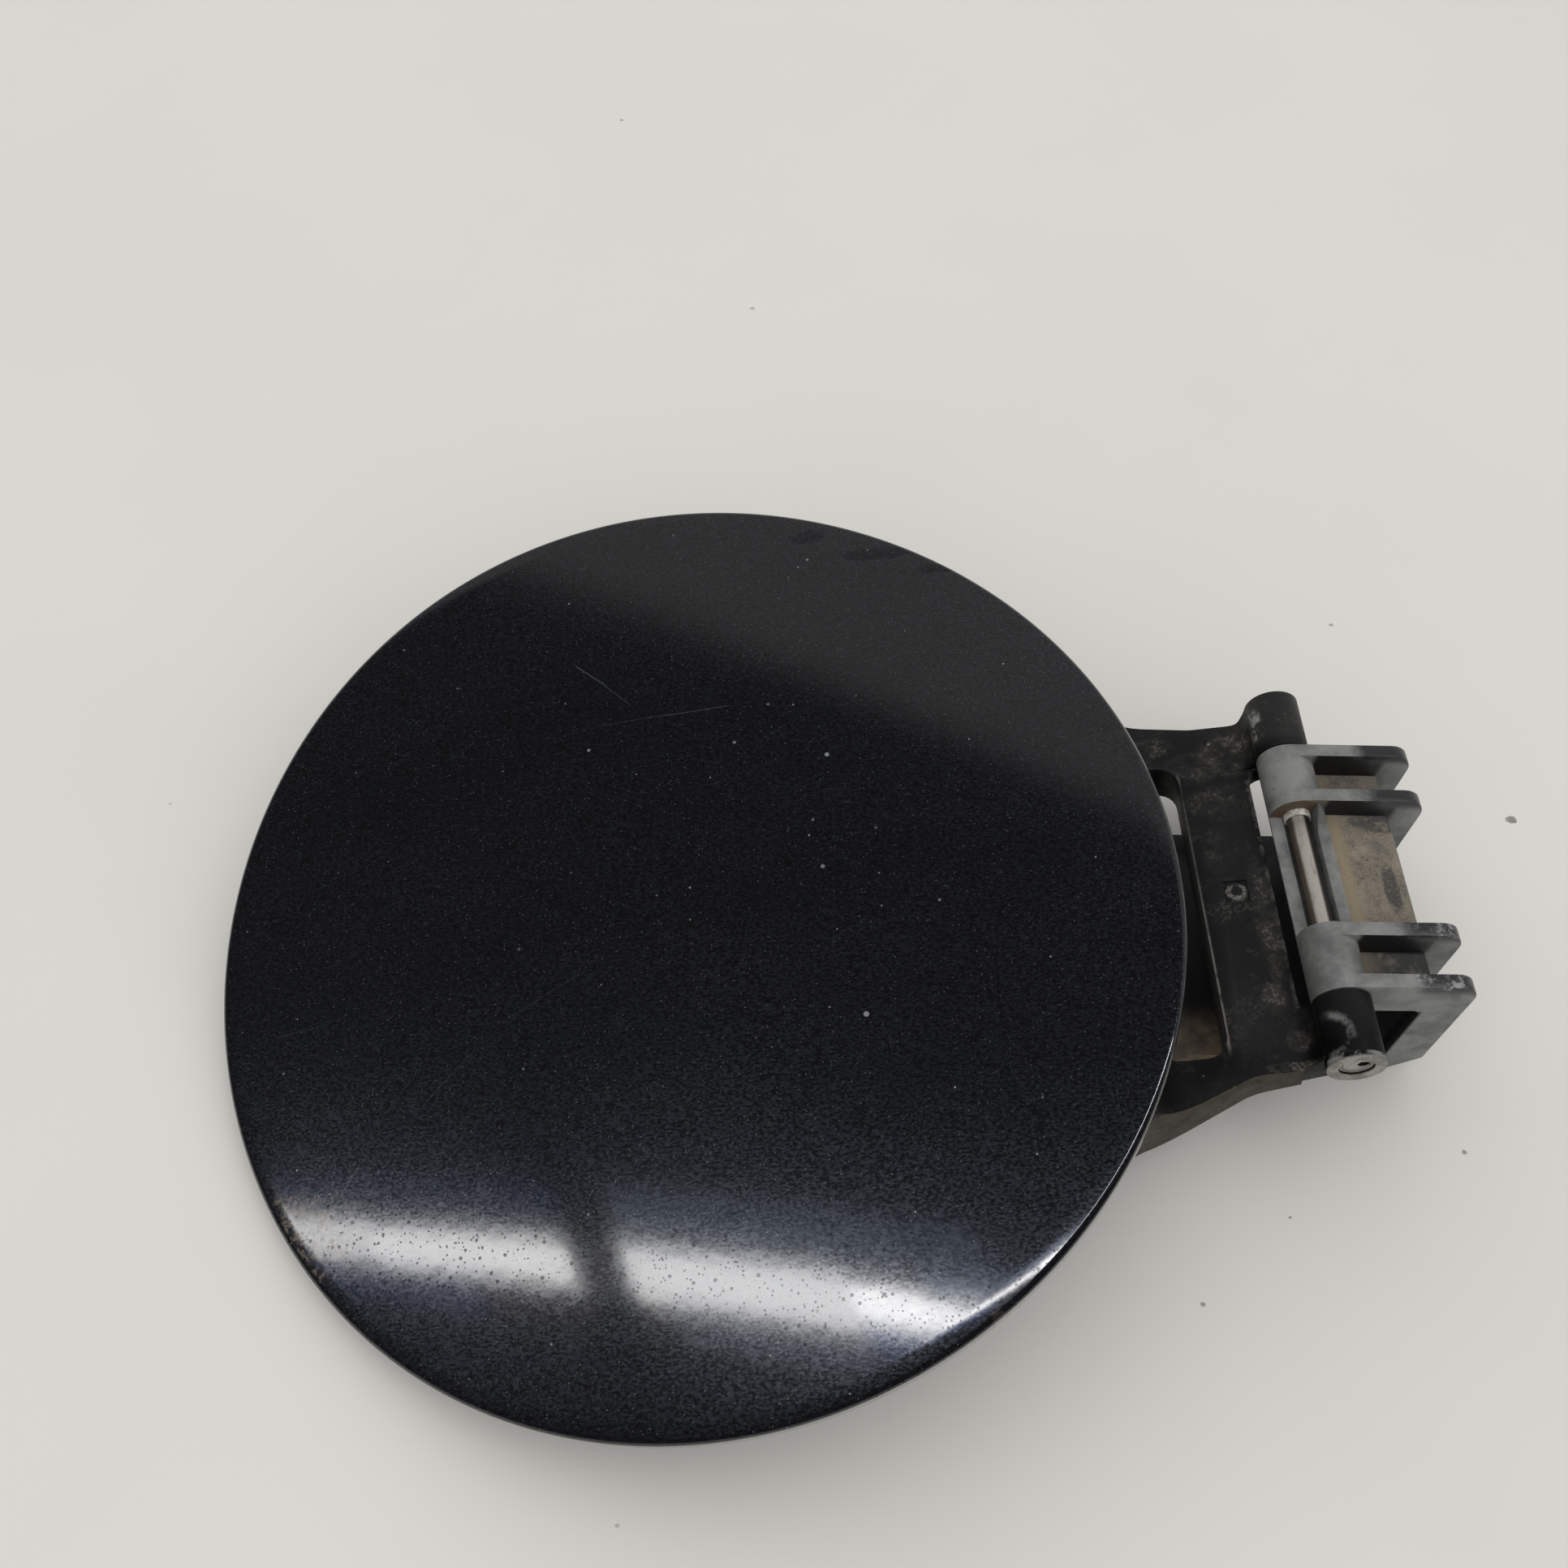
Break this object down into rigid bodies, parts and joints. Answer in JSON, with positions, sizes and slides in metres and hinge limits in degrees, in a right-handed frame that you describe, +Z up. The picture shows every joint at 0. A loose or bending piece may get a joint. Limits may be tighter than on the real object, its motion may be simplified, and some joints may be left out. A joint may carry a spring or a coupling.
{
  "type": "car fuel door",
  "caption": "Round car fuel door: crowned painted panel on a moulded hinge arm that swings on a steel pin in a bracket.",
  "frame": {"origin": "on the bracket's seating face, straight under the middle of the hinge pin", "axes": "+Y along the hinge pin, +Z up from the seating face, -X towards the panel"},
  "size_m": [0.2191, 0.1688, 0.0459],
  "materials": {
    "panel_paint": "dark blue-black metallic paint, fine scratches",
    "arm_plastic": "black moulded plastic, dusty",
    "bracket_plastic": "grey moulded plastic, dusty",
    "pin_steel": "dull worn steel",
    "bush_nylon": "natural nylon",
    "buffer_rubber": "black rubber"
  },
  "bodies": {
    "bracket": {"hinge_bracket": "bracket_plastic", "pin_bush_upper": "bush_nylon", "pin_bush_lower": "bush_nylon"},
    "door": {"outer_skin": "panel_paint", "hinge_arm": "arm_plastic", "latch_striker": "arm_plastic", "buffer_upper": "buffer_rubber", "buffer_lower": "buffer_rubber", "hinge_pin": "pin_steel"}
  },
  "joints": [
    {"name": "door_hinge", "type": "hinge", "parent": "bracket", "child": "door", "pos_m": [0, 0, 0.02741], "axis": [0, 1, 0], "range_deg": [0, 95]}
  ]
}
